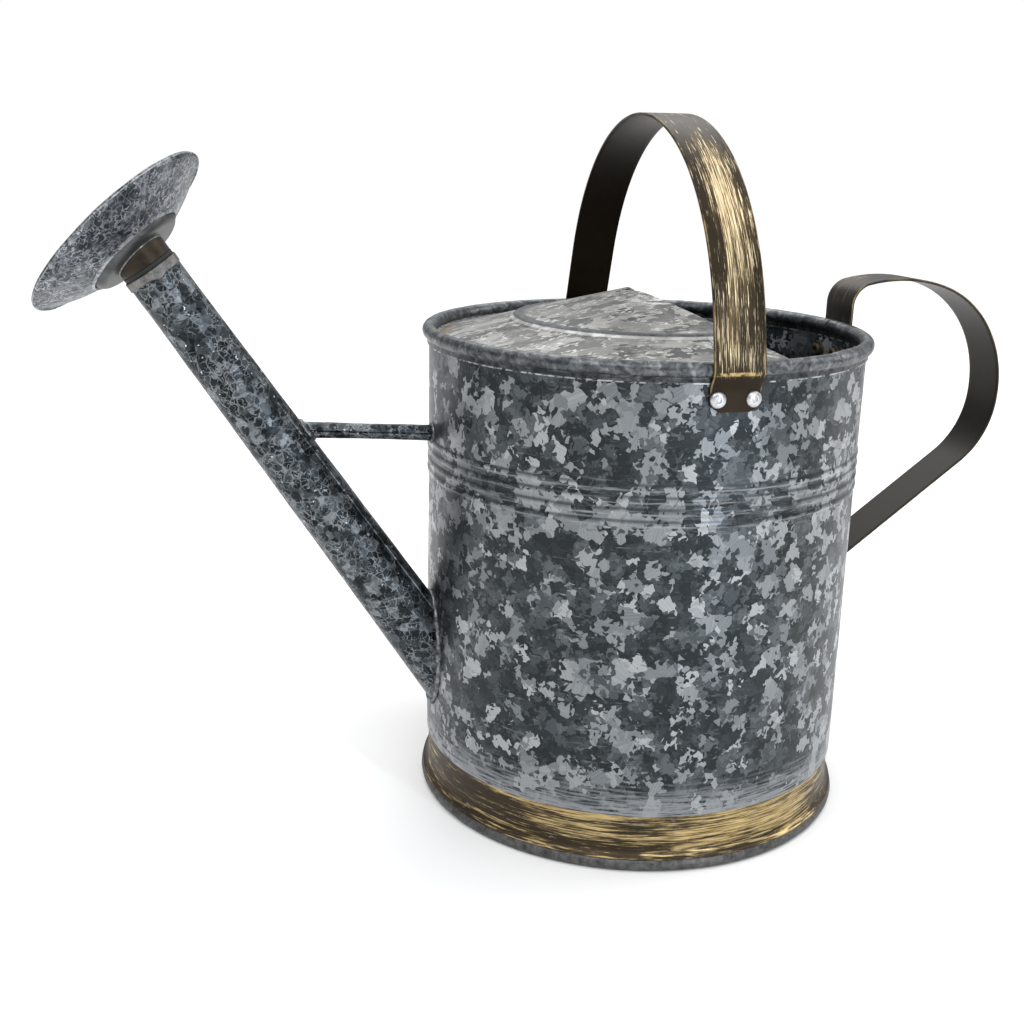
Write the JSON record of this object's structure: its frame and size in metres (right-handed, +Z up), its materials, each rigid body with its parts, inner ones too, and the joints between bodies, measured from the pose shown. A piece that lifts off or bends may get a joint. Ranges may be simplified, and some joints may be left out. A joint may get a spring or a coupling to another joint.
{
  "type": "watering can",
  "caption": "Galvanised watering can with a braced spout, removable angled rose, half cover, fixed bail over the top and a back handle.",
  "frame": {"origin": "middle of the flat underside, on the body's axis, at floor level", "axes": "+Z up, the spout points to -X, the bail stands in the Y-Z plane, +Y is its far foot"},
  "size_m": [0.4395, 0.1987, 0.3027],
  "materials": {
    "galvanised_body": "spangled zinc coating, satin",
    "galvanised_cover": "pale weathered zinc, satin",
    "galvanised_spout": "fine spangled zinc, satin",
    "galvanised_rose": "fine mottled zinc, satin",
    "galvanised_dull": "plain grey zinc, dull",
    "solder": "soft solder, dull",
    "steel_wire": "plain drawn steel",
    "brushed_band": "blackened brass, brushed back in streaks",
    "bronzed_strap": "dark bronze finish with brushed gold streaks",
    "bronzed_washer": "dark bronze",
    "rivet_aluminium": "bright",
    "aged_brass": "dark aged brass",
    "rubber_ring": "matt black"
  },
  "bodies": {
    "can": {"body_shell": "galvanised_body", "rim_wire": "steel_wire", "splash_cover": "galvanised_cover", "cover_solder": "solder", "bottom_plate": "galvanised_dull", "base_band": "brushed_band", "spout_tube": "galvanised_spout", "mouth_collar": "galvanised_dull", "spout_solder": "solder", "brace_tube": "galvanised_spout", "brace_solder": "solder", "bail_strap": "bronzed_strap", "bail_rivets": "rivet_aluminium", "bail_washers": "bronzed_washer", "bail_rivet_pins": "steel_wire", "grip_strap": "bronzed_strap", "grip_rivets": "rivet_aluminium", "grip_washers": "bronzed_washer", "grip_rivet_pins": "steel_wire"},
    "seal": {"rose_ring": "rubber_ring"},
    "rose": {"rose_stem": "aged_brass", "rose_neck": "galvanised_dull", "rose_shell": "galvanised_rose", "rose_face": "galvanised_rose", "rose_solder": "solder"}
  },
  "joints": [
    {"name": "rose_pull", "type": "slide", "parent": "can", "child": "seal", "axis": [-0.5592, 0, 0.829], "range_m": [0, 0.06]},
    {"name": "rose_twist", "type": "hinge", "parent": "seal", "child": "rose", "pos_m": [-0.2093, 0, 0.23855], "axis": [-0.5592, 0, 0.829], "continuous": true}
  ]
}
